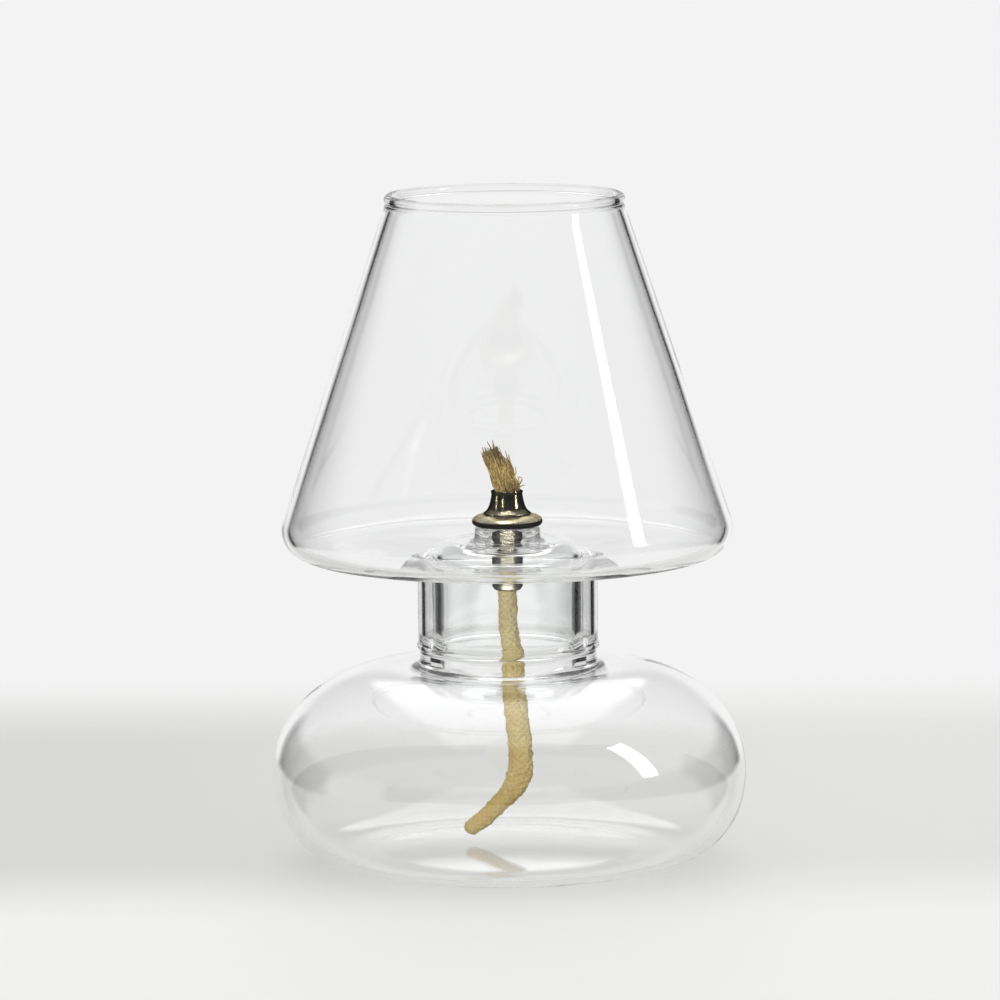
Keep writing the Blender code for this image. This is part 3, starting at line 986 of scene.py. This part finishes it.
def build_floor():
    """A plain pale floor, whose edges fade out softly."""
    near_edge = [(-FLOOR_SIDE, FLOOR_NEAR, 0.0), (FLOOR_SIDE, FLOOR_NEAR, 0.0)]
    far_edge = [(FLOOR_SIDE, FLOOR_FAR, 0.0), (-FLOOR_SIDE, FLOOR_FAR, 0.0)]
    mesh = bpy.data.meshes.new("studio_floor")
    mesh.from_pydata(near_edge + far_edge, [], [(0, 1, 2, 3)])
    floor = link(bpy.data.objects.new("studio_floor", mesh))
    floor.location.z = -FLOOR_DROP
    dress(floor, floor_material())


def walls_level(nodes, x, y):
    """Light from round the lamp: a backdrop behind it, a panel at its left, and a dim room in front."""
    turn = nodes.math("DEGREES", nodes.math("ARCTAN2", x, y))
    backdrop = nodes.ramp(nodes.math("ABSOLUTE", turn), *BACKDROP_EDGE, start=BACKDROP_LEVEL, end=0.0)
    from_front = nodes.ramp(turn, *LEFT_PANEL_FRONT_EDGE)
    to_back = nodes.ramp(turn, *LEFT_PANEL_BACK_EDGE, start=1.0, end=0.0)
    left_panel = nodes.math("MULTIPLY", from_front, to_back)
    level = nodes.math("ADD", backdrop, nodes.math("MULTIPLY", left_panel, LEFT_PANEL_LEVEL))
    return nodes.math("ADD", level, nodes.ramp(y, *FRONT_EDGE, start=FRONT_LEVEL, end=0.0))


def panel_level(nodes, x, y, z):
    """Light from the broad panel overhead."""
    rise = nodes.math("MAXIMUM", z, SMALLEST_RISE)
    aside = nodes.math("DIVIDE", nodes.math("ABSOLUTE", x), rise)
    ahead = nodes.math("DIVIDE", y, rise)
    across = nodes.ramp(aside, *PANEL_SIDE_EDGE, start=1.0, end=0.0)
    panel = nodes.math("MULTIPLY", across, nodes.ramp(ahead, *PANEL_FRONT_EDGE))
    panel = nodes.math("MULTIPLY", panel, nodes.ramp(z, *PANEL_LOW_EDGE))
    return nodes.math("MULTIPLY", panel, PANEL_LEVEL)


def build_world():
    """The room: its walls up to a height, a grey upper part with a bright panel, and pale ground."""
    world = bpy.data.worlds.new("studio")
    bpy.context.scene.world = world
    world.use_nodes = True
    nodes = Nodes(world.node_tree)
    out = nodes.add("ShaderNodeOutputWorld")
    glow = nodes.add("ShaderNodeBackground")
    glow.inputs["Color"].default_value = (1.0, 1.0, 1.0, 1.0)
    nodes.wire(glow.outputs[0], out.inputs["Surface"])
    x, y, z = nodes.axes(nodes.add("ShaderNodeTexCoord").outputs["Generated"])
    upper = nodes.ramp(y, *UPPER_DEPTH, start=UPPER_FRONT, end=UPPER_BACK)
    room = nodes.mix_values(nodes.ramp(z, *UPPER_EDGE), walls_level(nodes, x, y), upper)
    light = nodes.math("ADD", room, panel_level(nodes, x, y, z))
    height = nodes.math("ADD", z, nodes.math("MULTIPLY", y, GROUND_TILT))
    ground = nodes.ramp(height, *GROUND_EDGE, start=1.0, end=0.0)
    nodes.wire(nodes.mix_values(ground, light, GROUND_LEVEL), glow.inputs["Strength"])


def softbox(name, azimuth, elevation, distance, width, height, power):
    """A soft rectangular light that faces the oil lamp."""
    data = bpy.data.lights.new(name, "AREA")
    data.shape = "RECTANGLE"
    data.size, data.size_y = width, height
    data.energy = power
    lamp = link(bpy.data.objects.new(name, data))
    a, e = math.radians(azimuth), math.radians(elevation)
    way = Vector((math.sin(a) * math.cos(e), -math.cos(a) * math.cos(e), math.sin(e)))
    lamp.location = LAMP_AIM + way * distance
    lamp.rotation_euler = way.to_track_quat("Z", "Y").to_euler()
    return lamp


def light_only(lamp, pieces):
    """Let a lamp reach only these pieces and stay unseen, and return them as a collection."""
    lit = bpy.data.collections.new(lamp.name + "_only")
    for piece in pieces:
        lit.objects.link(piece)
    lamp.light_linking.receiver_collection = lit
    lamp.visible_camera = False
    return lit


def key_light(glass_piece, place):
    """The strip that draws a glass piece's long highlight, and can't be seen through the glass."""
    key = softbox("key_" + glass_piece.name, *place)
    light_only(key, [glass_piece])
    key.visible_transmission = False


def inner_light(name, place, pieces):
    """A lamp for cotton or metal inside the glass, which the glass neither shades nor mirrors."""
    lamp = softbox(name, *place)
    lamp.light_linking.blocker_collection = light_only(lamp, pieces)
    lamp.data.cycles.use_multiple_importance_sampling = False


def set_look():
    """A plain view transform, and enough bounces for light to get through both glass pieces."""
    scene = bpy.context.scene
    scene.view_settings.view_transform = "Standard"
    scene.view_settings.exposure = EXPOSURE
    scene.view_settings.gamma = GAMMA
    scene.cycles.max_bounces = ALL_BOUNCES
    scene.cycles.glossy_bounces = GLASS_BOUNCES
    scene.cycles.transmission_bounces = GLASS_BOUNCES
    scene.cycles.transparent_max_bounces = CLEAR_BOUNCES
    scene.cycles.sample_clamp_indirect = BRIGHTEST_INDIRECT


def main():
    """Build the lamp, its studio and its lights."""
    make_camera()
    wick_finish = wick_cotton()
    tail = build_tail(tail_cotton())
    core = build_core(wick_finish)
    tuft = build_tuft(wick_finish)
    reservoir = build_reservoir()
    shade = build_shade()
    tube = build_tube()
    plate = build_plate()
    nozzle = build_nozzle()
    build_floor()
    build_world()
    key_light(shade, KEY_SHADE)
    key_light(reservoir, KEY_RESERVOIR)
    lit = {"cotton": [tail, core, tuft], "nozzle": [nozzle], "plate": [plate], "tube": [tube]}
    for name, group, place in INNER_LAMPS:
        inner_light(name, place, lit[group])
    set_look()


main()
